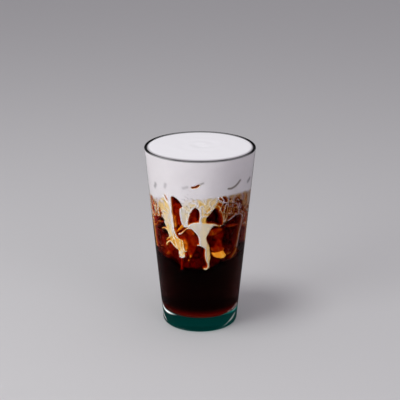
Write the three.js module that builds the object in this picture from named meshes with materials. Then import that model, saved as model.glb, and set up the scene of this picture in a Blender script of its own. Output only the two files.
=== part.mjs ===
// A pint glass of cold brew coffee topped with cold foam, in millimetres, +Z up.
// The origin is the middle of the glass's foot, on the surface that it stands on, and -Y faces the viewer.
import * as THREE from "three";
import { mergeVertices } from "three/addons/utils/BufferGeometryUtils.js";

// Driving sizes of the glass: a standard 16 ounce mixing glass
const GLASS_HEIGHT = 149.2;
const RIM_RADIUS = 44.45;
const FOOT_RADIUS = 30.15;
const WALL_AT_RIM = 2.2;
const WALL_AT_FOOT = 6.2;
const FLOOR_THICKNESS = 9.7;
const FLOOR_DISH = 0.9;
const CAVITY_FILLET = 10;
const HEEL_RADIUS = 3.6;
const PUSH_UP_RADIUS = 22;
const PUSH_UP_HEIGHT = 1.4;

// Driving sizes of what fills it
const GAP = 0.3;
const FOAM_EDGE = 148.2;
const FOAM_PLATEAU = 148.9;
const FOAM_SHOULDER = 4;
const FOAM_DIMPLE = 0.5;
const FOAM_UNDERSIDE = 116;
const UNDERSIDE_TILT = 3.2;
const UNDERSIDE_HIGH_SIDE = 35;
const UNDERSIDE_RIPPLE = 0.7;
const LAYER_GAP = 0.5;
const STILL_COFFEE = 46;
const COFFEE_ROWS = [104, 90, 75, 60, STILL_COFFEE];
const FOAM_ROW = 128;

// Streams of foam that sink down the wall: bearing in degrees right of the viewer's middle, the height
// that each reaches, and its half width in degrees. The back ones carry on in the front's manner.
const STREAMS = [
  { bearing: -33, reaches: 68, halfWidth: 9 },
  { bearing: -17, reaches: 93, halfWidth: 5.5 },
  { bearing: 6, reaches: 60, halfWidth: 8 },
  { bearing: 30, reaches: 97, halfWidth: 6 },
  { bearing: 59, reaches: 66, halfWidth: 6 },
  { bearing: 88, reaches: 94, halfWidth: 8 },
  { bearing: 116, reaches: 74, halfWidth: 7 },
  { bearing: 143, reaches: 99, halfWidth: 6 },
  { bearing: 168, reaches: 70, halfWidth: 8 },
  { bearing: 200, reaches: 92, halfWidth: 7 },
  { bearing: 228, reaches: 78, halfWidth: 7 },
  { bearing: 256, reaches: 97, halfWidth: 6 },
  { bearing: 286, reaches: 88, halfWidth: 8 },
];
const STREAM_INNER_SHARE = 0.62;
const STREAM_FULL_SHARE = 0.94;

// Facets, and the rings of the layers' meeting face as shares of the radius, closest where the streams hang
const GLASS_SEGMENTS = 96;
const FILL_SEGMENTS = 120;
const ARC_STEPS = 6;
const SHOULDER_STEPS = 3;
const MEETING_RINGS = [0.35, 0.62, 0.72, 0.8, 0.87, 0.92, 0.96];
const DEGREE = Math.PI / 180;

const smoothstep = THREE.MathUtils.smoothstep;
const lerp = THREE.MathUtils.lerp;

// The glass's own radii at a height
function outerRadius(z) {
  return lerp(FOOT_RADIUS, RIM_RADIUS, z / GLASS_HEIGHT);
}

function innerRadius(z) {
  return outerRadius(z) - lerp(WALL_AT_FOOT, WALL_AT_RIM, z / GLASS_HEIGHT);
}

// Points of an arc of the (radius, height) section, both ends included
function arc(centreR, centreZ, radius, fromDegrees, toDegrees) {
  return Array.from({ length: ARC_STEPS + 1 }, (_, i) => {
    const angle = lerp(fromDegrees, toDegrees, i / ARC_STEPS) * DEGREE;
    return new THREE.Vector2(centreR + radius * Math.cos(angle), centreZ + radius * Math.sin(angle));
  });
}

// The cavity's rounded floor, from the wall in to the axis, pulled in by a clearance all round
function cavityFloor(clearance) {
  const floor = FLOOR_THICKNESS + FLOOR_DISH;
  const filletZ = floor + CAVITY_FILLET;
  const fillet = arc(innerRadius(filletZ) - CAVITY_FILLET, filletZ, CAVITY_FILLET - clearance, 0, -90);
  return [...fillet, new THREE.Vector2(0, FLOOR_THICKNESS + clearance)];
}

// A closed section turned round the Z axis. It runs outwards from the axis along its lower side or, to share
// the facets of a face that it meets, along its upper side. move, if given, shifts each turned point.
function turned(section, segments, move) {
  const geometry = new THREE.LatheGeometry(section, segments);
  geometry.deleteAttribute("normal");
  geometry.deleteAttribute("uv");
  geometry.rotateX(Math.PI / 2);
  const position = geometry.getAttribute("position");
  for (let i = 0; move && i < position.count; i++) {
    const x = position.getX(i);
    const y = position.getY(i);
    const radius = Math.hypot(x, y);
    const bearing = Math.atan2(x, -y) / DEGREE;
    const moved = move(bearing, radius, position.getZ(i));
    const grown = radius > 0 ? moved.radius / radius : 0;
    position.setXYZ(i, x * grown, y * grown, moved.z);
  }
  const runsDown = section[0].y > section.at(-1).y;
  return closed(geometry, runsDown);
}

// One vertex for each place, no collapsed triangles on the axis, and plain normals
function closed(geometry, insideOut) {
  const merged = mergeVertices(geometry, 1e-4);
  const index = merged.index.array;
  const kept = [];
  for (let i = 0; i < index.length; i += 3) {
    const [a, b, c] = [index[i], index[i + 1], index[i + 2]];
    if (a !== b && b !== c && c !== a) {
      kept.push(a, ...(insideOut ? [c, b] : [b, c]));
    }
  }
  merged.setIndex(kept);
  merged.computeVertexNormals();
  return merged;
}

// Degrees from one bearing to another, the short way round
function turnBetween(a, b) {
  return Math.abs(((a - b + 540) % 360) - 180);
}

// Height of the foam's underside: a slightly tilted, rippled level with the streams hanging from it
function underside(bearing, share) {
  const level =
    FOAM_UNDERSIDE +
    UNDERSIDE_TILT * Math.cos((bearing - UNDERSIDE_HIGH_SIDE) * DEGREE) * share +
    UNDERSIDE_RIPPLE * Math.sin(9 * bearing * DEGREE) * share;
  const atWall = smoothstep(share, STREAM_INNER_SHARE, STREAM_FULL_SHARE);
  return STREAMS.reduce((lowest, stream) => {
    const across = turnBetween(bearing, stream.bearing) / stream.halfWidth;
    const hang = across < 1 ? Math.cos((across * Math.PI) / 2) ** 2 : 0;
    return Math.min(lowest, level - (level - stream.reaches) * hang * atWall);
  }, level);
}

// Carries a point between a height that stays put and the underside along with the underside
function follow(stays, offset) {
  return (bearing, radius, z) => {
    const between = (z - stays) / (FOAM_UNDERSIDE - stays);
    if (between <= 0) {
      return { radius, z };
    }
    const share = radius / (innerRadius(z) - GAP);
    const moved = lerp(stays, underside(bearing, Math.min(share, 1)) + offset, between);
    return { radius: share * (innerRadius(moved) - GAP), z: moved };
  };
}

function meetingRing(share) {
  return new THREE.Vector2(share * (innerRadius(FOAM_UNDERSIDE) - GAP), FOAM_UNDERSIDE);
}

// A point of a shallow dome: its height above its edge at a share of its radius
function bowl(share, radius, height) {
  return new THREE.Vector2(share * radius, height * (1 - share ** 2));
}

function wallPoint(z) {
  return new THREE.Vector2(innerRadius(z) - GAP, z);
}

function glassGeometry() {
  const heelR = outerRadius(HEEL_RADIUS) - HEEL_RADIUS;
  const beadRadius = WALL_AT_RIM / 2;
  const section = [
    ...[0, 0.5, 1].map((share) => bowl(share, PUSH_UP_RADIUS, PUSH_UP_HEIGHT)),
    ...arc(heelR, HEEL_RADIUS, HEEL_RADIUS, -90, 0),
    ...arc(RIM_RADIUS - beadRadius, GLASS_HEIGHT - beadRadius, beadRadius, 0, 180),
    ...cavityFloor(0),
  ];
  return turned(section, GLASS_SEGMENTS);
}

function coffeeGeometry() {
  const section = [
    new THREE.Vector2(0, FOAM_UNDERSIDE),
    ...MEETING_RINGS.map(meetingRing),
    meetingRing(1),
    ...COFFEE_ROWS.map(wallPoint),
    ...cavityFloor(GAP),
  ];
  return turned(section, FILL_SEGMENTS, follow(STILL_COFFEE, -LAYER_GAP / 2));
}

function foamGeometry() {
  const edge = innerRadius(FOAM_EDGE) - GAP;
  const shoulder = Array.from({ length: SHOULDER_STEPS }, (_, i) => {
    const inwards = (i + 1) / SHOULDER_STEPS;
    const risen = Math.sin((inwards * Math.PI) / 2);
    return new THREE.Vector2(edge - FOAM_SHOULDER * inwards, lerp(FOAM_EDGE, FOAM_PLATEAU, risen));
  });
  const dimple = [0.5, 0].map((share) => {
    const dip = bowl(share, edge - FOAM_SHOULDER, FOAM_DIMPLE);
    return new THREE.Vector2(dip.x, FOAM_PLATEAU - dip.y);
  });
  const section = [
    new THREE.Vector2(0, FOAM_UNDERSIDE),
    ...MEETING_RINGS.map(meetingRing),
    meetingRing(1),
    wallPoint(FOAM_ROW),
    wallPoint(FOAM_EDGE),
    ...shoulder,
    ...dimple,
  ];
  const foamFollow = follow(FOAM_EDGE, LAYER_GAP / 2);
  return turned(section, FILL_SEGMENTS, (bearing, radius, z) =>
    z < FOAM_EDGE ? foamFollow(bearing, radius, z) : { radius, z },
  );
}

function piece(name, geometry, material) {
  const mesh = new THREE.Mesh(geometry, new THREE.MeshStandardMaterial(material));
  mesh.name = name;
  return mesh;
}

const drink = new THREE.Group();
drink.add(
  piece("glass", glassGeometry(), {
    color: 0xdcebe8,
    roughness: 0.03,
    metalness: 0,
    transparent: true,
    opacity: 0.35,
  }),
  piece("coffee", coffeeGeometry(), { color: 0x240a04, roughness: 0.08, metalness: 0 }),
  piece("cold_foam", foamGeometry(), { color: 0xf0eeec, roughness: 0.75, metalness: 0 }),
);

export default drink;
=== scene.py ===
# The looks of an iced cold brew coffee with cold foam in a pint glass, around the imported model.
# Shapes are worked out in millimetres and turned into metres as each mesh is made. A place on the glass's
# inner wall is given by its bearing, in degrees right of the viewer's middle, and its height.
import math

import bpy
import numpy as np
from mathutils import Euler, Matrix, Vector


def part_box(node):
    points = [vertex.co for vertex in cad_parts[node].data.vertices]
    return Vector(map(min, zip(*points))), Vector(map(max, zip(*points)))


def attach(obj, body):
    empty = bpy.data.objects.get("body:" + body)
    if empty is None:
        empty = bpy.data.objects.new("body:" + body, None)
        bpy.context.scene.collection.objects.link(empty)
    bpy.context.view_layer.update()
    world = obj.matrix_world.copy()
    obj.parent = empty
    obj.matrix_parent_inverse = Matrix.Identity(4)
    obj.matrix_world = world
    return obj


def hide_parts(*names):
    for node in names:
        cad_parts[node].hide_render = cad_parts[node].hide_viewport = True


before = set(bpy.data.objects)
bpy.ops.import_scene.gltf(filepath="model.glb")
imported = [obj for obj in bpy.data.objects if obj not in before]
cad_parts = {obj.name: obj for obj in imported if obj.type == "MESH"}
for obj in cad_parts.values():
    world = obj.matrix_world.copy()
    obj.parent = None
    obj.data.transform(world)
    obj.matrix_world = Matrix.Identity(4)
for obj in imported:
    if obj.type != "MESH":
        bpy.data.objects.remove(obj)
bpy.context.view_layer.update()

# Driving sizes in millimetres. The glass's height and rim and the drink's lowest point are the frame's.
METRE = 1000
GLASS_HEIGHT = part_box("glass")[1].z * METRE
RIM_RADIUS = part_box("glass")[1].x * METRE
FOOT_RADIUS = 30.15
WALL_AT_RIM = 2.2
WALL_AT_FOOT = 6.2
CAD_GAP = 0.3
FLOOR_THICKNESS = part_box("coffee")[0].z * METRE - CAD_GAP
FLOOR_DISH = 0.9
CAVITY_FILLET = 10
HEEL_RADIUS = 3.6
PUSH_UP_RADIUS = 22
PUSH_UP_HEIGHT = 1.4

# How far the drink and the foam reach into the wall, so that no air shows between them and the glass
COFFEE_BITE = 0.08
FOAM_BITE = 0.14

# The foam's top
FOAM_EDGE = 148.1
FOAM_PLATEAU = 148.95
FOAM_SHOULDER = 3.2

# The photo's camera: where it is from the glass's middle, its pitch, and its focal length and frame in pixels
CAMERA_DISTANCE = 1.005
CAMERA_ELEVATION = math.radians(20.12)
CAMERA_PITCH = math.radians(18.55)
FOCAL_PIXELS = 1233
FRAME_PIXELS = 400


def lerp(a, b, t):
    return a + (b - a) * t


def smoothstep(x, low, high):
    t = np.clip((x - low) / (high - low), 0, 1)
    return t * t * (3 - 2 * t)


def outer_radius(z):
    return lerp(FOOT_RADIUS, RIM_RADIUS, z / GLASS_HEIGHT)


def inner_radius(z):
    return outer_radius(z) - lerp(WALL_AT_FOOT, WALL_AT_RIM, z / GLASS_HEIGHT)


# The radius at which cells of noise are counted round the wall, and the rows up it after which they repeat
NOISE_RADIUS = 38
NOISE_ROWS = 97


def noise(bearing, height, cell, seed, stretch=1):
    """Smooth random values from -1 to 1 round the wall, about a cell of millimetres apart.
    stretch lengthens the cells up the wall."""
    around = max(4, round(2 * math.pi * NOISE_RADIUS / cell))
    table = np.random.default_rng(seed).uniform(-1, 1, (around, NOISE_ROWS))
    x = np.asarray(bearing, float) / 360 * around
    y = np.asarray(height, float) / (cell * stretch) + 0.5
    column, row = np.floor(x).astype(int), np.floor(y).astype(int)
    tx, ty = smoothstep(x - column, 0, 1), smoothstep(y - row, 0, 1)

    def pick(i, j):
        return table[(column + i) % around, (row + j) % NOISE_ROWS]

    return lerp(lerp(pick(0, 0), pick(1, 0), tx), lerp(pick(0, 1), pick(1, 1), tx), ty)


def curve(points, steps=6):
    """A smooth line through given points."""
    p = np.array([points[0], *points, points[-1]], float)
    found = []
    for i in range(1, len(p) - 2):
        for t in np.arange(steps) / steps:
            a, b, c, d = p[i - 1 : i + 3]
            bend = 2 * a - 5 * b + 4 * c - d
            twist = 3 * b - 3 * c + d - a
            found.append(0.5 * (2 * b + (c - a) * t + bend * t**2 + twist * t**3))
    return np.array([*found, p[-2]])


def on_wall(points):
    """Bearings and heights as millimetres along and up the wall."""
    points = np.asarray(points, float)
    return np.stack([np.radians(points[..., 0]) * inner_radius(points[..., 1]), points[..., 1]], -1)


def line_distance(place, line):
    """Millimetres from each place to a line, and how far along it that is, from 0 to 1."""
    nearest = np.full(place.shape[:-1], 1e9)
    along = np.zeros(place.shape[:-1])
    for i in range(len(line) - 1):
        start, run = line[i], line[i + 1] - line[i]
        t = np.clip(((place - start) @ run) / max(run @ run, 1e-9), 0, 1)
        distance = np.linalg.norm(place - start - t[..., None] * run, axis=-1)
        closer = distance < nearest
        nearest = np.where(closer, distance, nearest)
        along = np.where(closer, (i + t) / (len(line) - 1), along)
    return nearest, along


OUTLINE_STEPS = 3


def outline_distance(place, outline):
    """Millimetres from each place to a smooth outline, below zero inside it."""
    outline = on_wall(curve([*outline, outline[0]], OUTLINE_STEPS)[:-1])
    nearest, _ = line_distance(place, np.vstack([outline, outline[:1]]))
    inside = np.zeros(place.shape[:-1], bool)
    for a, b in zip(outline, np.roll(outline, -1, 0)):
        spans = (a[1] > place[..., 1]) != (b[1] > place[..., 1])
        rise = b[1] - a[1] if abs(b[1] - a[1]) > 1e-9 else 1e-9
        inside ^= spans & (place[..., 0] < a[0] + (b[0] - a[0]) * (place[..., 1] - a[1]) / rise)
    return np.where(inside, -nearest, nearest)


# Where the solid white foam ends, and where the thin veil of it below that ends: bearing and height
WHITE_ENDS = [
    (-90, 113), (-80, 111), (-70, 110.8), (-64, 110.8), (-60, 112.2), (-55, 113.6), (-50, 114),
    (-46, 115.4), (-42, 111), (-37, 109), (-24, 115), (-20, 111), (-18, 116), (-8, 117), (5, 117),
    (14, 118), (40, 118.3), (60, 117.8), (75, 116), (90, 113),
]
VEIL_ENDS = [
    (-90, 96), (-84, 92), (-78, 90), (-70, 94), (-64, 96), (-57, 97.5), (-52, 98), (-49, 93), (-44, 86),
    (-40, 82), (-35, 86), (-33, 93), (-24, 96), (-21, 94), (-16, 93.3), (-11, 95), (0, 96), (18, 95),
    (24, 93.5), (29, 93.2), (32, 95.5), (35, 96.8), (42, 99), (50, 99.8), (58, 99), (63, 94), (70, 86),
    (78, 86), (84, 93), (90, 96),
]
# The veil at a bearing: how deep its lines lie behind the wall, how much deeper the foam between them is and
# the lines' half width, all in millimetres
VEIL = [
    (-78, 0.08, 4, 0.5), (-70, 0.08, 3.6, 0.5), (-64, 0.06, 3.4, 0.5), (-58, 0.04, 1.7, 0.45),
    (-52, 0.04, 0.3, 0.5), (-44, 0.1, 0.25, 0.5), (-36, 0.05, 0.2, 0.6), (-24, 0, 0.1, 0.6),
    (-15, 0, 0.15, 0.6), (-2, 0.02, 0.3, 0.6), (4, 0.06, 0.4, 0.45), (18, 0.06, 0.6, 0.42),
    (25, 0.06, 2.2, 0.42), (31, 0.05, 5, 0.42), (52, 0.05, 6, 0.42), (62, 0.06, 5, 0.4), (75, 0.08, 4, 0.5),
]
# How much the veil and the streams blush at a bearing, from 0 to 1: partly their own pinkish brown and partly
# painted shade on their darker right side
VEIL_BLUSH_AND_SHADE = [
    (-90, 0.4), (-64, 0.5), (-54, 0.3), (-46, 0.05), (16, 0), (22, 0.2), (28, 0.55), (36, 0.8), (60, 0.9),
    (75, 0.6), (90, 0.4),
]

# The marbling: its cells' size and stretch, and the step and the least value of its steepness
MARBLE_CELL = 2.1
MARBLE_STRETCH = 2.4
MARBLE_STEP = 0.2
LEAST_STEEPNESS = 0.12

# The marbling's lines: how softly they end, how uneven they are and how they widen under the white foam
LINE_EDGE = 0.38
LINE_UNEVEN = 0.75
LINE_GROWTH = 0.3
LINE_GROWTH_REACH = 15

# Haze between the lines under the white foam: how deep it lies, how far down it ends and how unevenly
HAZE_DEPTH = 0.24
HAZE_ENDS = (5, 10)
HAZE_UNEVEN = 10

# Openings in the veil through which the coffee shows: outlines on the wall
WINDOWS = [
    [(-35.2, 114), (-34, 117.2), (-30, 117.4), (-24, 114.2), (-21.8, 110), (-24, 108.6), (-23.9, 101.8),
     (-23.2, 98.5), (-20.9, 94.6), (-25, 91), (-30, 88), (-32.3, 85), (-33.2, 93), (-34, 99),
     (-34.8, 107.4)],
    [(-10, 106.3), (-7.3, 109), (-4, 109.3), (-1.4, 107.4), (-0.3, 103.5), (-0.4, 99.5), (-1.6, 97.4),
     (-5, 97), (-9, 96.8), (-13.2, 95.7), (-15.6, 94.2), (-15.3, 97.5), (-14.6, 101.8), (-13, 103.8)],
    [(19, 109.8), (21.8, 108), (24.5, 104), (27.3, 99.6), (29, 95.5), (28, 94), (22, 94.4), (17.3, 96.3),
     (12.7, 96.3), (8.6, 97), (7.4, 100.2), (11.8, 104.6), (15.5, 108)],
    [(-44.6, 118.2), (-43, 117.6), (-41, 114.6), (-40.2, 112.4), (-42, 114)],
    [(-58, 105.8), (-55.5, 104.8), (-52.5, 101.6), (-51, 99.5), (-54, 100.4), (-55, 97), (-57, 96.6),
     (-56.4, 101)],
    [(-54.5, 97.4), (-51, 97.6), (-49.4, 95.2), (-53, 94.6)],
    [(41, 103), (43, 107), (46, 108.8), (49, 106.4), (49.6, 102.6), (45, 101.8)],
    [(35.6, 115.6), (37, 116), (38.6, 114.8), (37, 114.2)],
    [(33, 101), (35, 107), (36.6, 108.6), (35.6, 103), (34.6, 99.6)],
    [(51.4, 111), (55, 112), (60, 109.4), (57, 108)],
]

# Broad bodies of foam below the veil: outline, depth behind the wall and marbling
BODIES = [
    ([(-46, 108), (-36.6, 108), (-35.4, 94), (-32.6, 86), (-29, 82.4), (-22, 80.6), (-20.4, 74),
      (-20.6, 68.4), (-22.4, 66.2), (-28, 66.2), (-29.6, 70), (-31, 74.2), (-36, 75.6), (-41, 79),
      (-44.6, 84), (-47.6, 92)],
     0.15, 0.5),
    ([(-18, 93.4), (-10.5, 92.4), (-6.4, 89.8), (-2.7, 86.4), (-0.7, 83), (0.4, 79), (4.6, 76.4),
      (8.4, 75.6), (9.6, 79), (8.2, 82), (8, 84.4), (9.6, 86.6), (12, 89.4), (14.4, 91.8), (19, 94.4),
      (24, 94), (18, 96), (9, 96.6), (-2, 97), (-9, 96.4), (-14, 95)],
     0.07, 0.1),
    ([(7.6, 76), (10.6, 77), (12.2, 73), (13, 68), (13.2, 62.8), (11.4, 61.4), (9.4, 64.6), (8, 68),
      (8, 73)],
     0.16, 0.2),
]

# Lines of foam: points, half widths from start to end and depths from start to end, in millimetres
STROKES = [
    ([(-38.4, 114.6), (-36.6, 105.7), (-36, 96.3), (-35, 89.6), (-33.2, 85.2), (-30, 82.4)],
     (0.75, 0.65), (-0.1, 0)),
    ([(-41.4, 78.6), (-38, 77), (-35, 75), (-31.5, 73.4)], (0.5, 0.5), (0, 0.1)),
    ([(-28.4, 66.2), (-25, 66), (-21.4, 66.8)], (0.6, 0.6), (-0.1, -0.05)),
    ([(-20.4, 71.5), (-18.2, 71.9)], (0.55, 0.45), (0, 0.1)),
    ([(-56, 87.6), (-51, 88.9), (-46.4, 88), (-43.6, 85.8), (-41.2, 83.2)], (0.4, 0.7), (0.35, 0.05)),
    ([(-49.2, 74.4), (-48, 75.8), (-45, 77.8), (-42, 78.9)], (0.8, 0.5), (0.35, 0.1)),
    ([(-48.8, 78), (-46, 80.2), (-43, 81.6)], (0.45, 0.6), (0.7, 0.3)),
    ([(-60, 92.8), (-57.6, 93.2)], (0.4, 0.3), (0.2, 0.5)),
    ([(-27, 86), (-25, 86.3), (-22.5, 88), (-20, 89.8), (-16.5, 92)], (0.65, 0.3), (-0.05, 0.25)),
    ([(-28.2, 64.5), (-29.2, 59.5), (-30.6, 54.6)], (0.6, 0.9), (3.3, 4.3)),
    ([(-31.4, 87.6), (-28, 89.6), (-24, 92.2), (-20.6, 94.4)], (0.5, 1.5), (1.1, 0.8)),
    ([(-23.8, 108), (-23.4, 100), (-21.4, 95.6), (-18.4, 93.4), (-16.4, 94.6), (-15.4, 99), (-13.4, 104)],
     (0.7, 0.6), (0, -0.05)),
    ([(-16, 93.6), (-13, 95.6), (-8.6, 96.6), (-2, 97.1)], (0.5, 0.6), (0.05, -0.1)),
    ([(0.7, 111), (0.8, 104), (0.5, 97.5)], (0.6, 0.75), (0, -0.1)),
    ([(8, 96.4), (12.7, 95.8), (17.3, 95.6), (22, 93.6), (26, 92.6)], (0.6, 0.4), (0.15, 0.9)),
    ([(-15.9, 92), (-10.5, 92.2), (-6.4, 89.7), (-2.7, 86.4), (-0.6, 83), (0.5, 79)],
     (0.5, 0.7), (0, -0.1)),
    ([(-3.2, 77.8), (0.5, 77.9), (5, 76.4), (7.7, 74), (7.6, 70.7), (8.2, 66.3), (10.4, 62.4), (12, 59.4),
      (11, 57.2), (8.6, 56.4), (6.2, 56.6)], (0.45, 0.75), (0, 0.12)),
    ([(9.4, 79), (11.6, 75.2), (12.6, 70.7), (13.4, 65.4), (12.4, 60.6), (13.8, 56.8)],
     (0.55, 0.3), (0.2, 0.7)),
    ([(30, 96.2), (34, 96.6)], (0.7, 0.4), (0.35, 0.5)),
    ([(35.8, 96.8), (40, 98), (45.5, 99.6), (50.5, 100.3), (56.8, 99.8), (61, 97.6)],
     (0.55, 0.65), (-0.05, 0.1)),
    ([(60, 98.4), (62.4, 94.4), (61, 88), (59.5, 82.4), (58, 76.3), (56.4, 71.8)],
     (0.6, 0.95), (0.02, 0.1)),
    ([(56.4, 69), (54, 66), (50.5, 64.2), (48, 63)], (1, 0.7), (0.5, 0.8)),
    ([(39.5, 90.9), (42, 91), (43.6, 90.5)], (0.3, 0.3), (0.4, 0.7)),
    ([(41.6, 67.2), (44, 68), (46, 67.4)], (0.7, 0.5), (0.7, 1)),
    ([(40.6, 106), (43, 105.4), (46, 107.2), (50, 105)], (0.25, 0.25), (0.3, 0.4)),
    ([(44, 101.6), (45, 104.6), (48.6, 107.6)], (0.25, 0.2), (0.3, 0.5)),
    ([(38.4, 101), (39.6, 106), (43, 109.4), (48, 110), (51.6, 106), (52, 102)], (0.35, 0.3), (0.1, 0.3)),
    ([(30.4, 96.4), (28.6, 101), (25.4, 107), (23.4, 111)], (0.35, 0.3), (0.05, 0.25)),
    ([(30.8, 96.6), (30, 102), (29.6, 109), (27, 114)], (0.3, 0.25), (0.1, 0.3)),
    ([(31.4, 96.6), (33, 101.4), (34, 107), (33.4, 113)], (0.3, 0.25), (0.1, 0.3)),
    ([(32, 96.6), (35.6, 102), (37.4, 108), (38.8, 114)], (0.35, 0.25), (0.05, 0.3)),
    ([(3, 105), (7, 110), (13, 114), (20, 115), (26, 112.6)], (0.3, 0.3), (0, 0.15)),
    ([(2.4, 101), (5.6, 106), (10.6, 110), (17, 112), (22.6, 110.4), (26, 105.6)],
     (0.35, 0.3), (0.05, 0.2)),
    ([(-70, 96), (-68, 104), (-66, 110)], (0.4, 0.6), (0.7, 0.3)),
    ([(-76, 86), (-71, 87.6), (-66, 91.6)], (0.5, 0.4), (0.6, 0.9)),
    ([(-64, 71), (-60, 71.4)], (0.5, 0.3), (0.9, 1.3)),
    ([(66, 118), (65, 106), (67, 96), (66, 88)], (0.6, 0.4), (0.2, 1)),
    ([(72, 116), (73, 100), (75, 86)], (0.6, 0.4), (0.3, 1.4)),
    ([(84, 112), (85.6, 98), (83.4, 88), (84.6, 80), (82.4, 72)], (1.6, 0.7), (-0.05, 0.3)),
    ([(79, 112), (80.6, 102), (83.6, 93), (84, 86)], (0.6, 0.9), (0, 0.1)),
    ([(-86, 111), (-84.4, 102), (-86.6, 92), (-85.4, 84)], (1.5, 0.5), (-0.05, 0.4)),
    ([(-79, 111), (-80, 98), (-77.6, 86), (-79, 76), (-77.4, 68)], (1.1, 0.6), (0.05, 0.5)),
]

# Marks in the solid white foam where ice lies close behind it: points, half width, depth and how grey
MARKS = [
    ([(-60.5, 122.2), (-58.6, 124.4)], 1.7, 0.02, 0.55),
    ([(-42.6, 124.6), (-41.4, 127)], 1.5, 0.02, 0.36),
    ([(-19, 126.4), (-14.6, 127.4)], 1.2, 0.02, 0.3),
    ([(-8.6, 127.2), (-5, 127.6), (-1.5, 128.8)], 1, 2.6, 0.5),
    ([(-1, 129.2), (3.4, 130.8)], 0.9, 0.1, 0.45),
    ([(33, 124.2), (37, 123.8), (42, 125), (45, 126.4), (49.5, 129.4)], 1, 0.16, 0.8),
    ([(66, 125.4), (71, 126.6)], 1.6, 0.06, 0.7),
]

# How steeply the foam's face falls away past an edge, past the veil's end and in a window, and how far
EDGE_SLOPE = 7
VEIL_SLOPE = 3.5
WINDOW_SLOPE = 15
NO_FOAM = 12

# How far a stroke's crown falls off to its sides, and the most that it does
CROWN = 0.18
CROWN_LIMIT = 0.3

# Where bubbles pit the veil and where they show grey: bearing, height and the reach round and up
PITTED = (-13, 110, 8, 9)
SPOTTED = (-13, 111, 9, 8)
PIT_DEPTH = 0.25
SPOT_GREY = 0.6

# How far lines wander, in millimetres, and ripple, in degrees and millimetres, and where the back begins
WANDER_IN_FRONT = 0.35
WANDER_AT_BACK = 3.6
RIPPLE_ROUND = 0.35
RIPPLE_UP = 0.22
MM_PER_DEGREE = 0.62
BACK_BEGINS = (84, 120)


def repeated(bearing):
    """The back's bearings turned onto the front's, so that its streams are like those."""
    return (np.asarray(bearing, float) + 90) % 180 - 90


def backness(bearing):
    """0 in front and 1 at the back."""
    return smoothstep(np.abs((np.asarray(bearing, float) + 180) % 360 - 180), *BACK_BEGINS)


def bearing_of(x, y):
    return np.degrees(np.arctan2(x, -y))


def at(bearing, table, column=1):
    """A table's column at a bearing."""
    table = np.array(table, float)
    return np.interp(bearing, table[:, 0], table[:, column])


def swirled(bearing, height):
    """Smooth random values from -1 to 1, drawn out along the flow."""
    turn = noise(bearing, height, 9, seed=21)
    sink = noise(bearing, height, 8, seed=22)
    curl = noise(bearing, height, 4, seed=23)
    moved = (bearing + 7 * turn + 2 * curl, height + 6 * sink)
    return noise(*moved, MARBLE_CELL, seed=24, stretch=MARBLE_STRETCH)


def marbling(bearing, height):
    """Millimetres to the marbling's nearest line, along which the swirled values are 0."""
    value = swirled(bearing, height)
    across = swirled(bearing + np.degrees(MARBLE_STEP / inner_radius(FOAM_EDGE)), height) - value
    up = swirled(bearing, height + MARBLE_STEP) - value
    steepness = np.hypot(across, up) / MARBLE_STEP
    return np.abs(value) / np.maximum(steepness, LEAST_STEEPNESS)


def bubbles(bearing, height):
    """Small round pits, 1 in their middles."""
    return smoothstep(noise(bearing, height, 1.15, seed=31), 0.3, 0.75)


def patch(bearing, height, middle_bearing, middle_height, wide, tall):
    """1 in the middle of a soft patch on the wall, and 0 far from it."""
    return np.exp(-(((bearing - middle_bearing) / wide) ** 2) - ((height - middle_height) / tall) ** 2)


def wandered(bearing, height):
    """A place's bearing and height in the front's tables."""
    wander = lerp(WANDER_IN_FRONT, WANDER_AT_BACK, backness(bearing))
    b = bearing + wander * noise(bearing, height, 9, seed=11) / MM_PER_DEGREE
    b = b + RIPPLE_ROUND * noise(bearing, height, 2.4, seed=13)
    h = height + wander * noise(bearing, height, 9, seed=12)
    h = h + RIPPLE_UP * noise(bearing, height, 2.4, seed=14)
    return repeated(b), h


def foam_depth(bearing, height):
    """How far behind the wall the foam's face lies, in millimetres."""
    b, h = wandered(bearing, height)
    place = on_wall(np.stack([b, h], -1))

    below_white = at(b, WHITE_ENDS) - h
    line = at(b, VEIL, 3) * (1 + LINE_UNEVEN * noise(bearing, height, 5, seed=29))
    line = line + LINE_GROWTH * (1 - smoothstep(below_white, 0, LINE_GROWTH_REACH))
    gap = smoothstep(marbling(bearing, height), line, line + LINE_EDGE)
    gap_depth = at(b, VEIL, 2)
    hazed_to = below_white + HAZE_UNEVEN * noise(bearing, height, 3.4, seed=30, stretch=1.8)
    gap_depth = np.minimum(gap_depth, HAZE_DEPTH + gap_depth * smoothstep(hazed_to, *HAZE_ENDS))
    pits = PIT_DEPTH * patch(b, h, *PITTED) * bubbles(bearing, height)
    veil = at(b, VEIL) + gap_depth * gap + pits * smoothstep(below_white, -1.5, 1.5)
    depth = veil * smoothstep(below_white, -1, 1.2) + VEIL_SLOPE * np.maximum(0, at(b, VEIL_ENDS) - h)

    for outline in WINDOWS:
        inside = -outline_distance(place, outline)
        depth = np.maximum(depth, np.where(inside > 0, WINDOW_SLOPE * inside, -1))
    for outline, base, marbled in BODIES:
        outside = outline_distance(place, outline)
        depth = np.minimum(depth, base + marbled * gap + EDGE_SLOPE * np.maximum(0, outside))
    for points, widths, depths in STROKES:
        distance, along = line_distance(place, on_wall(curve(points)))
        half = lerp(*widths, along)
        face = lerp(*depths, along) + np.minimum(CROWN * (distance / half) ** 2, CROWN_LIMIT)
        depth = np.minimum(depth, face + EDGE_SLOPE * np.maximum(0, distance - half))
    for points, half, dent, _ in MARKS:
        distance, _ = line_distance(place, on_wall(curve(points)))
        depth = np.maximum(depth, dent * smoothstep(-distance, -half, -half * 0.3))
    return np.minimum(depth, NO_FOAM)


# How far a mark's grey spreads, in its half widths
MARK_SPREAD = 1.6


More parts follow.
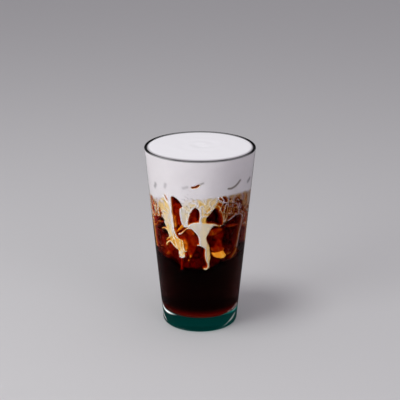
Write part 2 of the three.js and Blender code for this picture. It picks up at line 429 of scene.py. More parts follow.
def foam_stain(bearing, height):
    """How grey the foam is at a place, from 0 to 1."""
    place = on_wall(np.stack(wandered(bearing, height), -1))
    grey_share = np.zeros(place.shape[:-1])
    for points, half, _, grey in MARKS:
        distance, _ = line_distance(place, on_wall(curve(points)))
        grey_share = np.maximum(grey_share, grey * smoothstep(-distance, -half * MARK_SPREAD, 0))
    spots = SPOT_GREY * patch(repeated(bearing), height, *SPOTTED) * bubbles(bearing, height)
    return np.maximum(grey_share, spots)


def foam_blush_and_shade(bearing, height):
    """How much the foam blushes at a place, from 0 to 1: partly its own pinkish brown and partly painted
    shade.
    """
    below_white = at(repeated(bearing), WHITE_ENDS) - height
    return at(repeated(bearing), VEIL_BLUSH_AND_SHADE) * smoothstep(below_white, -1.5, 2)


# Painted shade on the foam's top close to the wall, strongest in front: its strength and how many millimetres
# in it reaches
FRONT_SHADE = 0.9
FRONT_SHADE_REACH = 5.5
SIDE_SHADE = 0.75
SIDE_SHADE_REACH = 1.6


def edge_shade(bearing, radius):
    """How much painted shade greys the foam's top close to the wall, from 0 to 1."""
    front = np.maximum(0, np.cos(np.radians(bearing))) ** 2
    side = np.sin(np.radians(bearing)) ** 2
    wall = inner_radius(FOAM_EDGE)
    reach = lerp(SIDE_SHADE_REACH, FRONT_SHADE_REACH, front)
    return (FRONT_SHADE * front + SIDE_SHADE * side) * smoothstep(radius, wall - reach, wall)


def new_object(name, data):
    found = bpy.data.objects.new(name, data)
    bpy.context.scene.collection.objects.link(found)
    return found


def mesh_piece(name, vertices, faces, material, smooth=True):
    """A mesh object from vertices in millimetres."""
    mesh = bpy.data.meshes.new(name)
    mesh.from_pydata((np.asarray(vertices, float) / METRE).tolist(), [], faces)
    mesh.materials.append(material)
    mesh.polygons.foreach_set("use_smooth", [smooth] * len(mesh.polygons))
    mesh.validate()
    mesh.update()
    return new_object(name, mesh)


def mark_vertices(piece, name, values):
    """A number for each vertex, which materials read by name."""
    attribute = piece.data.attributes.new(name, "FLOAT", "POINT")
    attribute.data.foreach_set("value", np.asarray(values, np.float32))


def arc(centre_r, centre_z, radius, start, end, steps):
    angles = np.radians(np.linspace(start, end, steps + 1))
    return [(centre_r + radius * math.cos(a), centre_z + radius * math.sin(a)) for a in angles]


ARC_STEPS = 12
FLOOR_SHARES = (0.75, 0.5, 0.25, 0)


def cavity_floor(bite):
    """The cavity's rounded floor, from the wall in to the axis, let into the glass by a bite."""
    fillet_z = FLOOR_THICKNESS + FLOOR_DISH + CAVITY_FILLET
    fillet_r = inner_radius(fillet_z) - CAVITY_FILLET
    rounded = arc(fillet_r, fillet_z, CAVITY_FILLET + bite, 0, -90, ARC_STEPS)
    return rounded + [(s * fillet_r, FLOOR_THICKNESS - bite + FLOOR_DISH * s**2) for s in FLOOR_SHARES]


def neighbours(count):
    """Each number under count with the one after it, all the way round."""
    return [(i, (i + 1) % count) for i in range(count)]


GLASS_SEGMENTS = 256


def turned(section):
    """The vertices and faces of a section turned round the axis. Its two ends are on the axis."""
    vertices = [(0, 0, section[0][1])]
    for r, z in section[1:-1]:
        for a in np.arange(GLASS_SEGMENTS) / GLASS_SEGMENTS * 2 * math.pi:
            vertices.append((r * math.cos(a), r * math.sin(a), z))
    last = len(vertices) - GLASS_SEGMENTS
    vertices.append((0, 0, section[-1][1]))
    around = neighbours(GLASS_SEGMENTS)
    faces = [(0, 1 + j, 1 + i) for i, j in around]
    for low in range(1, last, GLASS_SEGMENTS):
        high = low + GLASS_SEGMENTS
        faces += [(low + i, low + j, high + j, high + i) for i, j in around]
    faces += [(last + i, last + j, len(vertices) - 1) for i, j in around]
    return vertices, faces


# The rows of the glass's mesh: up its foot, up its wall outside and inside, on its heel and under it
FOOT_TOP = 21
FOOT_STEP = 0.5
WALL_ROWS = 12
WALL_TOP_OUTSIDE = GLASS_HEIGHT - 6
WALL_TOP_INSIDE = GLASS_HEIGHT - 4
WALL_FOOT_INSIDE = 30
HEEL_STEPS = 10
PUSH_UP_SHARES = (0, 0.25, 0.5, 0.75, 0.92)
PUSH_UP_LIP = (PUSH_UP_RADIUS + 0.6, 0.02)

# Painted highlights where light gathers in the thick foot: points on its outside, half widths from start to
# end and strength
GLEAMS = [
    ([(-80, 19), (-72, 15.2), (-64, 13.5), (-56, 13.2), (-46, 13.3), (-34, 13.8)], (1, 0.8), 1),
    ([(-86, 14), (-76, 8), (-62, 3.9)], (0.6, 0.5), 0.8),
    ([(-40, 3.4), (-26, 2.6), (-14, 2.6)], (0.3, 0.3), 0.3),
    ([(30, 3), (40, 3.8), (48, 4.8)], (0.3, 0.5), 0.35),
    ([(46, 5), (58, 7.4), (68, 10.6)], (0.8, 1.2), 0.22),
    ([(46, 15.6), (58, 16.2), (72, 19)], (0.1, 0.2), 0.6),
    ([(56, 13.8), (66, 15), (74, 17.4)], (0.1, 0.18), 0.6),
]

# A gleam thins out to its ends. Its light fades between two shares of its half width.
GLEAM_TAPER = 0.8
GLEAM_LEAST = 0.01
GLEAM_ENDS = 1.6
GLEAM_FULL = 0.4


def gleam(bearing, height):
    """How strong the painted highlight is at a place on the foot, from 0 to 1."""
    place = np.stack([np.radians(repeated(bearing)) * FOOT_RADIUS, height], -1)
    found = np.zeros(place.shape[:-1])
    for points, widths, strength in GLEAMS:
        line = curve(points)
        line[:, 0] = np.radians(line[:, 0]) * FOOT_RADIUS
        distance, along = line_distance(place, line)
        half = GLEAM_LEAST + lerp(*widths, along) * np.sin(math.pi * along) ** GLEAM_TAPER
        bright = smoothstep(-distance, -half * GLEAM_ENDS, -half * GLEAM_FULL)
        found = np.maximum(found, strength * bright)
    return found


def glass_section():
    """The glass's section from the axis under its foot, up outside, over the rim and down to the cavity's
    floor, and how many points it has before those that the drink and the foam touch."""
    bead = WALL_AT_RIM / 2
    heel_r = outer_radius(HEEL_RADIUS) - HEEL_RADIUS
    underneath = [(s * PUSH_UP_RADIUS, PUSH_UP_HEIGHT * (1 - s**2)) for s in PUSH_UP_SHARES]
    heel = arc(heel_r, HEEL_RADIUS, HEEL_RADIUS, -90, 0, HEEL_STEPS)
    foot = np.arange(HEEL_RADIUS + FOOT_STEP, FOOT_TOP, FOOT_STEP)
    wall = np.linspace(FOOT_TOP, WALL_TOP_OUTSIDE, WALL_ROWS)
    outside = [(outer_radius(z), z) for z in [*foot, *wall]]
    rim = arc(RIM_RADIUS - bead, GLASS_HEIGHT - bead, bead, 0, 180, ARC_STEPS)
    inside = [(inner_radius(z), z) for z in np.linspace(WALL_TOP_INSIDE, WALL_FOOT_INSIDE, WALL_ROWS)]
    untouched = [*underneath, PUSH_UP_LIP, *heel, *outside, *rim]
    return [*untouched, *inside, *cavity_floor(0)], len(untouched)


def glass_piece():
    section, untouched = glass_section()
    vertices, faces = turned(section)
    # The glass's colour holds painted shade, and both glass materials give painted light.
    bare, *_ = clear_material("clear_glass", GLASS_IOR, GLASS_SHINE, glass_tint_and_shade, foot_glow)
    wet, *_ = clear_material("glass_touched_by_drink", GLASS_IOR, TOUCHED_SHINE, None, floor_glow)
    piece = mesh_piece("clear_glass", vertices, faces, bare)
    piece.data.materials.append(wet)
    touched = np.arange(len(faces)) // GLASS_SEGMENTS >= untouched - 1
    piece.data.polygons.foreach_set("material_index", touched.astype(int))
    x, y, z = np.array(vertices).T
    is_outside = np.hypot(x, y) > outer_radius(z) - HEEL_RADIUS
    # The foot's painted highlights.
    mark_vertices(piece, "gleam", np.where(is_outside & (z < FOOT_TOP), gleam(bearing_of(x, y), z), 0))
    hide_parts("glass")
    return piece


# The coffee's mesh: its top inside the foam, the rows of its wall, and how its top's edge is cut in and up
COFFEE_TOP = 133
COFFEE_ROWS = 24
COFFEE_EDGE_IN = 1.2
COFFEE_EDGE_UP = 0.6


def coffee_piece():
    rows = np.linspace(WALL_FOOT_INSIDE, COFFEE_TOP, COFFEE_ROWS)
    wall = [(inner_radius(z) + COFFEE_BITE, z) for z in rows]
    top = COFFEE_TOP + COFFEE_EDGE_UP
    lid = [(inner_radius(COFFEE_TOP) - COFFEE_EDGE_IN, top), (0, top)]
    vertices, faces = turned([*cavity_floor(COFFEE_BITE)[::-1], *wall, *lid])
    piece = mesh_piece("iced_coffee", vertices, faces, coffee_material())
    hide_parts("coffee")
    return piece


# The foam's mesh: columns round it, rings on its top, and rows down the wall, closer from the marks down
FOAM_COLUMNS = 480
TOP_RINGS = 22
TOP_FADES_FROM = 0.85
SHOULDER_TURNS = (20, 40, 60, 80)
COARSE_STEP = 1.2
MARKS_TOP = 133
FINE_STEP = 0.5

# Below the solid white foam it is a sheet, which is left out where its face would lie too deep
SHEET_TOP = 119.5
SHEET_END = 50
DEEPEST_FACE = 4.6
SHEET_THICKNESS = 1.8
THIN_SHEET = 0.4

# The white foam's underside, inside the sheet: how far off the wall it is, how far it dips and its rings
UNDERSIDE_INSET = 3
UNDERSIDE_DIP = 2
UNDERSIDE_SHARES = (0.9, 0.6, 0.3)

COLUMN_BEARINGS = np.arange(FOAM_COLUMNS) / FOAM_COLUMNS * 360 - 180
COLUMN_DIRECTIONS = np.stack([np.sin(np.radians(COLUMN_BEARINGS)), -np.cos(np.radians(COLUMN_BEARINGS))], -1)
COLUMN_PAIRS = neighbours(FOAM_COLUMNS)


def foam_top_height(x, y):
    """Height of the foam's top above its plateau: a faint swirl and a dimple off its middle."""
    swirl_x, swirl_y = x - 1.5, (y - 4) * 1.15
    out = np.hypot(swirl_x, swirl_y)
    angle = np.arctan2(swirl_y, swirl_x)
    swirl = 0.3 * np.sin(out / 2.1 - angle) * np.exp(-((out / 17) ** 2))
    dimple = -0.35 * np.exp(-((out / 9) ** 2))
    uneven = 0.05 * np.sin(x / 5.1 + 1) * np.sin(y / 4.3) + 0.03 * np.sin(x / 2.3) * np.sin(y / 2.9 + 2)
    return swirl + dimple + uneven


def joined_corners(kept):
    """kept with no two squares that meet at a corner alone."""
    while True:
        right = np.roll(kept, -1, 1)
        down = np.roll(kept, -1, 0)
        across = np.roll(right, -1, 0)
        falling = kept & across & ~right & ~down
        rising = right & down & ~kept & ~across
        falling[-1] = rising[-1] = False
        if not (falling | rising).any():
            return kept
        kept = kept | rising | np.roll(falling, 1, 1)


def ring(radius, height):
    """A ring of vertices. radius and height are numbers or one number for each column."""
    flat = COLUMN_DIRECTIONS * np.broadcast_to(radius, FOAM_COLUMNS)[:, None]
    return np.column_stack([flat, np.broadcast_to(height, FOAM_COLUMNS)])


def foam_top_rings():
    """Rings from the middle of the foam's top out and over its shoulder."""
    flat_edge = inner_radius(FOAM_EDGE) + FOAM_BITE - FOAM_SHOULDER
    rings = []
    for share in np.linspace(1 / TOP_RINGS, 1, TOP_RINGS):
        x, y, _ = ring(share * flat_edge, 0).T
        fade = 1 - smoothstep(share, TOP_FADES_FROM, 1)
        rings.append(ring(share * flat_edge, FOAM_PLATEAU + fade * foam_top_height(x, y)))
    for turn in np.radians(SHOULDER_TURNS):
        out = flat_edge + FOAM_SHOULDER * math.sin(turn)
        rings.append(ring(out, FOAM_EDGE + (FOAM_PLATEAU - FOAM_EDGE) * math.cos(turn)))
    return rings


def foam_wall_rings():
    """Rings down the face of the solid white foam."""
    above_marks = np.arange(FOAM_EDGE - FINE_STEP, MARKS_TOP, -COARSE_STEP)
    heights = [*above_marks, *np.arange(MARKS_TOP, SHEET_TOP + FINE_STEP, -FINE_STEP)]
    return [ring(inner_radius(h) + FOAM_BITE - foam_depth(COLUMN_BEARINGS, h), h) for h in heights]


def foam_sheet():
    """Rings down the sheet's outer and inner faces, and which of their squares are kept."""
    heights = np.arange(SHEET_TOP, SHEET_END, -FINE_STEP)
    grid_b, grid_h = np.meshgrid(COLUMN_BEARINGS, heights)
    depth = foam_depth(grid_b, grid_h)
    depth[:2] = 0
    radius = inner_radius(grid_h) + FOAM_BITE - depth
    thickness = THIN_SHEET + SHEET_THICKNESS * (1 - np.clip(depth / DEEPEST_FACE, 0, 1))
    outer = [ring(*row) for row in zip(radius, heights)]
    inner = [ring(*row) for row in zip(radius - thickness, heights)]
    shallower = np.minimum(depth, np.roll(depth, -1, 1))
    shallowest = np.minimum(shallower[:-1], shallower[1:])
    return outer, inner, joined_corners(shallowest < DEEPEST_FACE)


def foam_underside_rings():
    """Rings from the sheet's inner face towards the axis."""
    reach = inner_radius(SHEET_TOP) - UNDERSIDE_INSET
    return [ring(share * reach, SHEET_TOP - UNDERSIDE_DIP * (1 - share**2)) for share in UNDERSIDE_SHARES]


def band(upper, lower):
    """Squares between two rings, each given by its first vertex."""
    return [(upper + i, lower + i, lower + j, upper + j) for i, j in COLUMN_PAIRS]


def sheet_faces(kept, outer, inner):
    """The kept squares of both faces, each given by its first vertex, and the edges between them."""
    faces = []
    for k, i in np.argwhere(kept).tolist():
        j = (i + 1) % FOAM_COLUMNS
        above, below = k * FOAM_COLUMNS, (k + 1) * FOAM_COLUMNS
        square = (above + i, below + i, below + j, above + j)
        faces.append(tuple(outer + v for v in square))
        faces.append(tuple(inner + v for v in square[::-1]))
        sides = (
            (k > 0 and not kept[k - 1, i], square[3], square[0]),
            (k + 1 == len(kept) or not kept[k + 1, i], square[1], square[2]),
            (not kept[k, i - 1], square[0], square[1]),
            (not kept[k, j], square[2], square[3]),
        )
        faces += [(outer + b, outer + a, inner + a, inner + b) for is_open, a, b in sides if is_open]
    return faces


def foam_mesh():
    """The foam's vertices and faces: top, wall, sheet and underside."""
    solid = foam_top_rings() + foam_wall_rings()
    outer, inner, kept = foam_sheet()
    under = foam_underside_rings()
    top_middle = [(0, 0, FOAM_PLATEAU + foam_top_height(0, 0))]
    under_middle = [(0, 0, SHEET_TOP - UNDERSIDE_DIP)]
    vertices = np.concatenate([top_middle, *solid, *outer, *inner, *under, under_middle])

    outer_first = 1 + len(solid) * FOAM_COLUMNS
    inner_first = outer_first + len(outer) * FOAM_COLUMNS
    under_first = inner_first + len(inner) * FOAM_COLUMNS
    under_last = under_first + (len(under) - 1) * FOAM_COLUMNS
    faces = [(0, 1 + i, 1 + j) for i, j in COLUMN_PAIRS]
    for first in range(1, outer_first, FOAM_COLUMNS):
        faces += band(first, first + FOAM_COLUMNS)
    faces += sheet_faces(kept, outer_first, inner_first)
    faces += band(inner_first, under_first)
    for first in range(under_first, under_last, FOAM_COLUMNS):
        faces += band(first, first + FOAM_COLUMNS)
    faces += [(under_last + i, len(vertices) - 1, under_last + j) for i, j in COLUMN_PAIRS]
    return vertices, faces


def only_used(vertices, faces):
    """The vertices that the faces use, and the faces numbered to suit."""
    used = np.unique(np.concatenate(faces))
    number = np.zeros(len(vertices), int)
    number[used] = np.arange(len(used))
    return vertices[used], [tuple(number[list(face)].tolist()) for face in faces]


def foam_piece():
    vertices, faces = only_used(*foam_mesh())
    piece = mesh_piece("cold_foam_streams", vertices, faces, foam_material())
    x, y, z = vertices.T
    bearing = bearing_of(x, y)
    # The foam's grey holds its marks and spots and, on the top close to the wall, painted shade.
    shade = np.where(z > FOAM_EDGE - 0.1, edge_shade(bearing, np.hypot(x, y)), 0)
    mark_vertices(piece, "grey_share", np.maximum(foam_stain(bearing, z), shade))
    mark_vertices(piece, "blush_and_shade", foam_blush_and_shade(bearing, z))
    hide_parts("cold_foam")
    return piece


# Ice cubes: bearing and height of the middle, its distance from the axis, size, and turns in degrees
ICE_CUBES = [
    (-29, 104, 21, 24, (8, 12, -24)),
    (-14, 72, 19, 35, (-10, 6, -20)),
    (29, 75, 18, 37, (8, -6, 24)),
    (-60, 70, 20, 29, (10, 20, -60)),
    (-6, 105, 19, 22, (20, -14, 5)),
    (72, 84, 20, 24, (-12, 14, 62)),
    (120, 100, 20, 25, (12, 8, 30)),
    (150, 72, 19, 26, (-10, 16, 70)),
    (198, 98, 20, 24, (14, -12, 20)),
    (228, 74, 20, 25, (-16, 10, 50)),
    (268, 104, 20, 24, (10, 14, 80)),
]
ICE_STEPS = 40

# How far behind the wall the ice's face stays, how uneven and streaked it is, and how far a glow draws it out
ICE_CLEARANCE = 3.7
ICE_UNEVEN = 1.1
ICE_STREAKS = 0.9
ICE_REACH = 11

# The ice fades out below a height, at first slowly
ICE_FADES_BELOW = 68
ICE_FADE_UNEVEN = 5
ICE_FADE = 0.3
ICE_FADE_CURVE = 0.05

# The ice at the back: how uneven its face is and how pale it gets, which also sets its painted light
BACK_ICE_UNEVEN = 1.2
BACK_ICE_PALE = 0.55

# Where ice comes near the wall and light gets to it: outline, depth behind the wall, paleness, which also
# sets a painted glow, and soft edge
GLOWS = [
    ([(36, 98), (60, 99), (56, 78), (40, 73), (34, 80), (32, 90)], 6.5, 0, 3),
    ([(-8, 73), (6, 76), (8, 60), (-12, 58)], 6, 0, 3),
    ([(9, 84), (16, 85), (21, 80), (18, 74), (12, 72)], 6, 0, 2.5),
    ([(-36, 67), (-20, 68), (-8, 65), (-6, 59), (-20, 57), (-34, 59)], 5.6, 0.22, 6),
    ([(10, 66), (24, 67), (32, 63), (24, 58), (12, 58)], 6.8, 0.2, 5),
    ([(-27, 83), (-20, 86), (-8, 85), (-4, 80), (-8, 74), (-14, 69), (-22, 71)], 3.1, 0.42, 4),
    ([(20, 90), (30, 91), (33, 84), (30, 80), (22, 82)], 3.8, 0.3, 3),
    ([(-68, 74), (-62, 76), (-52, 73), (-44, 71), (-50, 64), (-62, 63)], 3.2, 0.3, 3),
    ([(-33.5, 109.6), (-29, 110.6), (-24.5, 107), (-24.5, 100), (-27, 94), (-31.5, 98)], 2.8, 0.42, 3),
    ([(-15, 97), (-14.6, 101.5), (-10, 105), (-5, 100), (-6, 97.4)], 3.1, 0.42, 3),
    ([(-19, 89.5), (-13, 91), (-8.6, 88.6), (-9.5, 86.4), (-14, 87)], 2.1, 0.6, 2),
    ([(22, 77), (26, 81), (28, 80), (32, 74.5), (26, 73), (22, 74)], 3.3, 0.55, 1.5),
    ([(9, 86.4), (11, 90), (16, 93), (26, 92.6), (28, 88.6), (20, 86.6), (14, 85.4)], 2.3, 0.6, 2),
    ([(15, 74.5), (22, 74), (33, 73.4), (36, 71.6), (30, 71.4), (18, 72)], 2.3, 0.6, 1.2),
    ([(38, 92.4), (46, 92), (56, 91), (57, 89.6), (46, 90.2)], 2.6, 0.5, 0.8),
    ([(-55, 65), (-50, 67.6), (-48, 67), (-53, 64.6)], 1.3, 0.6, 0.8),
    ([(-34, 101), (-32.8, 100.4), (-31, 93.6), (-32.6, 92)], 1.2, 0.7, 0.8),
    ([(-14, 68.4), (-12, 68.2), (-12.4, 66.6), (-14.2, 66.8)], 1.3, 0.8, 0.6),
    ([(-17, 64.2), (-15.2, 64.4), (-15.4, 62.8), (-17, 62.8)], 1.3, 0.8, 0.6),
    ([(-24.5, 80), (-21, 81), (-18.5, 78), (-18, 75), (-20, 73.4), (-23.5, 74)], 1.45, 0.75, 2.6),
    ([(16, 70.6), (20, 70.2), (27, 70.2), (33.5, 70.4), (35, 69.2), (38.5, 66.4), (36, 64.8), (30, 64.6),
      (25, 65.6), (20, 67), (17.4, 69)], 1.05, 1, 0.8),
]


def ice_streaks(bearing, height, depth):
    """Streaks on the ice's face in millimetres, which end where it comes up to the wall."""
    rising = noise(bearing + 0.9 * height, height, 2.2, seed=43, stretch=1.6)
    falling = noise(bearing - 0.6 * height, height, 1.3, seed=46, stretch=2)
    return (rising + 0.6 * falling) * ICE_STREAKS * smoothstep(depth, 0.5, 2)


def ice_face(bearing, height):
    """How far behind the wall the ice may come at a place, and how pale it is there, which also sets its
    painted glow.
    """
    place = on_wall(np.stack([repeated(bearing), height], -1))
    depth = ICE_CLEARANCE + ICE_UNEVEN * noise(bearing, height, 5, seed=41)
    fades_below = ICE_FADES_BELOW + ICE_FADE_UNEVEN * noise(bearing, 0, 22, seed=44)
    lower = np.maximum(0, fades_below - height)
    depth = depth + ICE_FADE * lower + ICE_FADE_CURVE * lower**2
    pale_and_glow = np.zeros(depth.shape)
    for outline, near, paleness, soft in GLOWS:
        share = smoothstep(-outline_distance(place, outline), -soft, 0)
        depth = lerp(depth, near, share)
        pale_and_glow = lerp(pale_and_glow, paleness, share)
    back = backness(bearing)
    uneven = noise(bearing, height, 12, seed=45)
    depth = lerp(depth, ICE_CLEARANCE - BACK_ICE_UNEVEN * uneven, back)
    pale_and_glow = lerp(pale_and_glow, BACK_ICE_PALE * smoothstep(uneven, 0, 0.5), back)
    return depth + ice_streaks(bearing, height, depth), pale_and_glow


def cube_grid(steps):
    """The vertices and faces of a cube from -1 to 1, each side in even steps."""
    faces, found = [], {}
    for axis in range(3):
        for side in (-1, 1):
            grid = np.empty((steps + 1, steps + 1), int)
            for i, j in np.ndindex(grid.shape):
                place = np.roll([side * steps, side * (2 * i - steps), 2 * j - steps], axis)
                grid[i, j] = found.setdefault(tuple(place.tolist()), len(found))
            corners = zip(grid[:-1, :-1].flat, grid[1:, :-1].flat, grid[1:, 1:].flat, grid[:-1, 1:].flat)
            faces += [tuple(int(v) for v in corner) for corner in corners]
    return np.array(list(found), float) / steps, faces


# An ice cube's form: how square it is, how far its sides are dished, and what the cubes' seeds follow
ICE_SQUARENESS = 7
ICE_DISH = 0.06
ICE_SEED = 100


def ice_shape(points, index, size, turns):
    """A cube's points rounded, dished, made uneven and turned."""
    rng = np.random.default_rng(ICE_SEED + index)
    stretch = rng.uniform(0.9, 1.08, 3)
    phases = rng.uniform(0, 6.28, 4)
    x, y, z = points[:, :1], points[:, 1:2], points[:, 2:]
    reach = (np.abs(points) ** ICE_SQUARENESS).sum(1, keepdims=True) ** (1 / ICE_SQUARENESS)
    dish = 1 - ICE_DISH * np.prod(np.cos(points * 1.2), 1, keepdims=True)
    uneven = 1 + 0.02 * (np.sin(3.1 * x + phases[0]) + np.sin(2.7 * y + phases[1]))
    uneven += 0.012 * np.sin(5.3 * z + phases[2]) * np.sin(4.7 * x + phases[3])
    shape = points / reach * dish * uneven * stretch * size / 2
    return shape @ np.array(Euler([math.radians(t) for t in turns]).to_matrix()).T


def ice_piece(material, grid, index, bearing, height, out, size, turns):
    """A rounded cube, pressed in where it would pass the wall and drawn out where it glows."""
    points, faces = grid
    angle = math.radians(bearing)
    middle = (out * math.sin(angle), -out * math.cos(angle), height)
    shape = ice_shape(points, index, size, turns) + middle
    x, y, z = shape.T
    radius = np.hypot(x, y)
    depth, pale_and_glow = ice_face(bearing_of(x, y), z)
    near = inner_radius(z) - depth
    drawn = np.where(radius > near - ICE_REACH, np.clip(pale_and_glow * 2, 0, 1), 0)
    pressed = lerp(np.minimum(radius, near), near, drawn)
    shape[:, :2] *= (pressed / np.maximum(radius, 1e-6))[:, None]
    piece = mesh_piece(f"ice_cube_{index}", shape, faces, material)
    mark_vertices(piece, "pale_and_glow", pale_and_glow * drawn)
    return piece


def set_inputs(tree, node, **inputs):
    """Gives each input a value or another node's output."""
    for name, value in inputs.items():
        socket = node.inputs[name.replace("_", " ")]
        if isinstance(value, bpy.types.NodeSocket):
            tree.links.new(value, socket)
        else:
            socket.default_value = value


def add(tree, kind, **inputs):
    """A new node with its inputs."""
    node = tree.nodes.new("ShaderNode" + kind)
    set_inputs(tree, node, **inputs)
    return node


def new_material(name):
    """An empty node material and its tree."""
    material = bpy.data.materials.new(name)
    material.use_nodes = True
    material.node_tree.nodes.clear()
    return material, material.node_tree


def opaque(name, **inputs):
    """A material of one shader, its tree and that shader."""
    material, tree = new_material(name)
    shader = add(tree, "BsdfPrincipled", **inputs)
    add(tree, "OutputMaterial", Surface=shader.outputs[0])
    return material, tree, shader


def mixed_shaders(tree, share, first, second):
    """A shader that is the second one by a share and the first one by the rest."""
    mix = add(tree, "MixShader", Fac=share)
    tree.links.new(first.outputs[0], mix.inputs[1])
    tree.links.new(second.outputs[0], mix.inputs[2])
    return mix


# The share of a clear material's light that only bends and makes no reflection, and its colour for lamps
BENDS_ONLY = 0.88
CLEAR = (1, 1, 1, 1)
LAMP_LIGHT = (0.98, 0.98, 0.98, 1)


def clear_material(name, ior, shine, tint_and_shade=None, light=None):
    """A clear material that lamps shine through, its tree and its output. Its two functions, if given, make
    the outputs for its colour, which may hold painted shade, and for the painted light that it gives."""
    material, tree = new_material(name)
    shader = add(tree, "BsdfPrincipled", Base_Color=CLEAR, Roughness=0, IOR=ior, Transmission_Weight=1)
    set_inputs(tree, shader, Specular_Tint=(shine, shine, shine, 1))
    bends = add(tree, "BsdfRefraction", Roughness=0, IOR=ior)
    if tint_and_shade:
        colour = tint_and_shade(tree)
        set_inputs(tree, shader, Base_Color=colour)
        set_inputs(tree, bends, Color=colour)
    if light:
        set_inputs(tree, shader, Emission_Color=light(tree), Emission_Strength=1 / (1 - BENDS_ONLY))
    seen = mixed_shaders(tree, BENDS_ONLY, shader, bends)
    for_lamps = add(tree, "BsdfTransparent", Color=LAMP_LIGHT)
    is_shadow = add(tree, "LightPath").outputs["Is Shadow Ray"]
    surface = mixed_shaders(tree, is_shadow, seen, for_lamps)
    return material, tree, add(tree, "OutputMaterial", Surface=surface.outputs[0])


def ramped(tree, value, low, high, most=1, kind="SMOOTHSTEP"):
    """An output that runs from 0 to most as a value runs from low to high."""
    ramp = add(tree, "MapRange", Value=value, From_Min=low, From_Max=high, To_Max=most)
    ramp.interpolation_type = kind
    return ramp.outputs["Result"]


def mixed(tree, factor, start, end):
    """An output that mixes two colours, each a colour or an output."""
    mix = add(tree, "Mix")
    mix.data_type = "RGBA"
    set_inputs(tree, mix, Factor=factor, A=start, B=end)
    return mix.outputs["Result"]


def marked(tree, name):
    """An output for the numbers that mark_vertices gives a mesh."""
    node = add(tree, "Attribute")
    node.attribute_name = name
    return node.outputs["Fac"]


def object_place(tree):
    return add(tree, "TexCoord").outputs["Object"]


def height_of(tree):
    """An output for the height in metres."""
    return add(tree, "SeparateXYZ", Vector=object_place(tree)).outputs["Z"]


def edge_on(tree):
    """An output for how edge on a face is seen, from 0 to 1."""
    return add(tree, "LayerWeight").outputs["Facing"]


def clouded(tree, low, high, **inputs):
    """An output for a cloudy colour between two, each given by its share of the noise and itself."""
    cloud = add(tree, "TexNoise", Vector=object_place(tree), **inputs)
    ramp = add(tree, "ValToRGB", Fac=cloud.outputs[0])
    for element, (position, colour) in zip(ramp.color_ramp.elements, (low, high)):
        element.position = position
        element.color = colour
    return ramp.outputs[0]


# The glass's colours, with painted shade in its foot, rim and edges, and the painted light that it gives
# where light gathers in it
GLASS_IOR = 1.5
GLASS_SHINE = 0.12
TOUCHED_SHINE = 0.05
NONE = (0, 0, 0, 1)
FOOT_TINT_AND_SHADE = (0.003, 0.23, 0.2, 1)
FOOT_GLOW = (0, 0.018, 0.016, 1)
RIM_PAINTED_SHADE = (0.4, 0.41, 0.41, 1)
EDGE_PAINTED_SHADE = (0.01, 0.013, 0.013, 1)
SIDE_PAINTED_SHADE = (0.3, 0.32, 0.32, 1)
FLOOR_GLOW = (0.05, 0.0006, 0.0004, 1)

# The heights in metres, or how edge on, between which they change over
FOOT_ENDS = (0.011, 0.015)
FLOOR_ENDS = (0.011, 0.02)
RIM_BEGINS = (0.148, 0.1485)
SIDE_TURNS = (0.8, 0.98)
RIM_TURNS = (0.35, 0.62)
GLEAM_TURNS = (0.3, 0.55)


def glass_tint_and_shade(tree):
    """Teal in the thick foot, partly the glass's own green and partly painted shade, clear above it, and
    painted shade in the rim and where the glass is seen edge on.
    """
    height, facing = height_of(tree), edge_on(tree)
    foot = mixed(tree, ramped(tree, height, *FOOT_ENDS), FOOT_TINT_AND_SHADE, CLEAR)
    body = mixed(tree, ramped(tree, facing, *SIDE_TURNS), foot, SIDE_PAINTED_SHADE)
    rim = mixed(tree, ramped(tree, facing, *RIM_TURNS), RIM_PAINTED_SHADE, EDGE_PAINTED_SHADE)
    return mixed(tree, ramped(tree, height, *RIM_BEGINS), body, rim)


def foot_glow(tree):
    """Painted light: a little teal glow in the foot, and painted highlights where its face turns away from
    the viewer.
    """
    shown = add(tree, "Math")
    shown.operation = "MULTIPLY"
    tree.links.new(marked(tree, "gleam"), shown.inputs[0])
    tree.links.new(ramped(tree, edge_on(tree), *GLEAM_TURNS), shown.inputs[1])
    teal = mixed(tree, ramped(tree, height_of(tree), *FOOT_ENDS), FOOT_GLOW, NONE)
    return mixed(tree, shown.outputs[0], teal, CLEAR)


def floor_glow(tree):
    """Painted red light, standing for light through the thin coffee at the cavity's rounded floor."""
    return mixed(tree, ramped(tree, height_of(tree), *FLOOR_ENDS), FLOOR_GLOW, NONE)


COFFEE_IOR = 1.33
COFFEE_SHINE = 0.05
COFFEE_TINT = (0.95, 0.727, 0.0, 1)
COFFEE_DENSITY = 2200


def coffee_material():
    material, tree, output = clear_material("cold_brew", COFFEE_IOR, COFFEE_SHINE)
    volume = add(tree, "VolumeAbsorption", Color=COFFEE_TINT, Density=COFFEE_DENSITY)
    set_inputs(tree, output, Volume=volume.outputs[0])
    return material


# The foam's colours, and the heights in metres between which its top's colour begins. Its blush is partly
# painted shade, and its grey is the marks' own grey and, close to the wall, painted shade.
FOAM_LOW = (0.3, (0.88, 0.84, 0.865, 1))
FOAM_HIGH = (0.7, (0.93, 0.89, 0.915, 1))
FOAM_TOP = (0.92, 0.915, 0.93, 1)
FOAM_TOP_BEGINS = (0.1478, 0.1484)
FOAM_BLUSH_AND_SHADE = (0.34, 0.19, 0.26, 1)
FOAM_GREY = (0.13, 0.11, 0.125, 1)


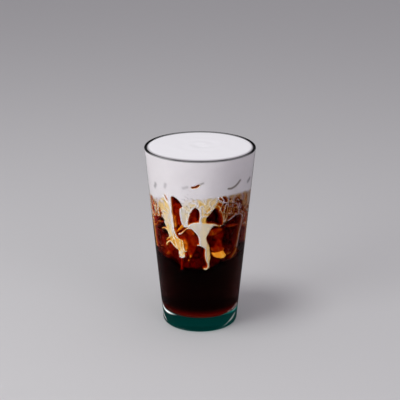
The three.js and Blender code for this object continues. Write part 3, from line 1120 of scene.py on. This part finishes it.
def foam_material():
    material, tree, shader = opaque("foam_and_streams", Roughness=0.55, IOR=1.35)
    tone = clouded(tree, FOAM_LOW, FOAM_HIGH, Scale=60, Detail=3)
    plain = mixed(tree, ramped(tree, height_of(tree), *FOAM_TOP_BEGINS, kind="LINEAR"), tone, FOAM_TOP)
    # The blush is partly painted shade, and the grey is painted shade on the top close to the wall.
    blushed_and_shaded = mixed(tree, marked(tree, "blush_and_shade"), plain, FOAM_BLUSH_AND_SHADE)
    greyed = mixed(tree, marked(tree, "grey_share"), blushed_and_shaded, FOAM_GREY)
    cells = add(tree, "TexVoronoi", Vector=object_place(tree), Scale=1400)
    bump = add(tree, "Bump", Strength=0.08, Distance=0.0003, Height=cells.outputs["Distance"])
    set_inputs(tree, shader, Base_Color=greyed, Normal=bump.outputs[0])
    return material


# The ice's colours, the paleness from which it gives painted light, standing for light gathered in it, and
# the most painted light that it gives
ICE_DARK = (0.36, (0.03, 0.03, 0.03, 1))
ICE_CLOUD = (0.66, (0.45, 0.45, 0.46, 1))
ICE_PALE = (0.9, 0.9, 0.9, 1)
ICE_LIT_FROM = 0.6
ICE_LIGHT = 0.42


def ice_material():
    material, tree, shader = opaque("ice", Roughness=0.3, IOR=1.31, Emission_Color=CLEAR)
    clouds = clouded(tree, ICE_DARK, ICE_CLOUD, Scale=130, Detail=4, Distortion=1.6)
    # Pale ice gives painted light.
    pale_and_glow = marked(tree, "pale_and_glow")
    lit = ramped(tree, pale_and_glow, ICE_LIT_FROM, 1, ICE_LIGHT, "LINEAR")
    set_inputs(tree, shader, Base_Color=mixed(tree, pale_and_glow, clouds, ICE_PALE), Emission_Strength=lit)
    return material


# The floor that the glass stands on: its grey, half its width and its height, in millimetres
STAGE_GREY = (0.62, 0.62, 0.62, 1)
STAGE_REACH = 6000
STAGE_HEIGHT = -0.03


def stage_floor():
    corners = [(-1, -1), (1, -1), (1, 1), (-1, 1)]
    corners = [(STAGE_REACH * x, STAGE_REACH * y, STAGE_HEIGHT) for x, y in corners]
    material, *_ = opaque("pale_floor", Base_Color=STAGE_GREY, Roughness=0.9, Specular_IOR_Level=0.1)
    floor = mesh_piece("floor", corners, [(0, 1, 2, 3)], material, smooth=False)


# The lamps: name, place, aim, width, power and colour, in metres and watts
LAMPS = [
    ("key", (-0.3, -0.22, 1.2), (0, 0, 0.1), 0.4, 4.4, (1, 1, 1)),
    ("left_fill", (-1.05, -0.8, 0.55), (0, 0, 0.09), 0.9, 7.2, (1, 1, 1)),
    ("right_fill", (0.85, -1, 0.65), (0, 0, 0.09), 0.9, 2.8, (0.97, 0.92, 1)),
]
STUDIO_COLOUR = (0.97, 0.93, 1, 1)
STUDIO_STRENGTH = 0.42


def area_lamp(name, place, aim, size, power, colour):
    lamp = bpy.data.lights.new(name, "AREA")
    lamp.shape = "DISK"
    lamp.size = size
    lamp.energy = power
    lamp.color = colour
    thing = new_object(name, lamp)
    thing.location = place
    thing.rotation_euler = (Vector(aim) - Vector(place)).to_track_quat("-Z", "Y").to_euler()


def light_scene():
    for lamp in LAMPS:
        area_lamp(*lamp)
    world = bpy.data.worlds.new("studio")
    world.use_nodes = True
    background = world.node_tree.nodes["Background"]
    set_inputs(world.node_tree, background, Color=STUDIO_COLOUR, Strength=STUDIO_STRENGTH)
    bpy.context.scene.world = world
    bpy.context.scene.view_settings.view_transform = "Standard"


def place_camera():
    data = bpy.data.cameras.new("camera")
    data.sensor_width = 36
    data.lens = FOCAL_PIXELS * data.sensor_width / FRAME_PIXELS
    camera = new_object("camera", data)
    back = CAMERA_DISTANCE * math.cos(CAMERA_ELEVATION)
    up = CAMERA_DISTANCE * math.sin(CAMERA_ELEVATION)
    camera.location = (0, -back, GLASS_HEIGHT / METRE / 2 + up)
    camera.rotation_euler = (math.pi / 2 - CAMERA_PITCH, 0, 0)
    bpy.context.scene.camera = camera


place_camera()
light_scene()
stage_floor()
pieces = [glass_piece(), coffee_piece(), foam_piece()]
ice = ice_material()
grid = cube_grid(ICE_STEPS)
pieces += [ice_piece(ice, grid, i + 1, *cube) for i, cube in enumerate(ICE_CUBES)]
for piece in pieces:
    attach(piece, "root")

bpy.context.view_layer.update()
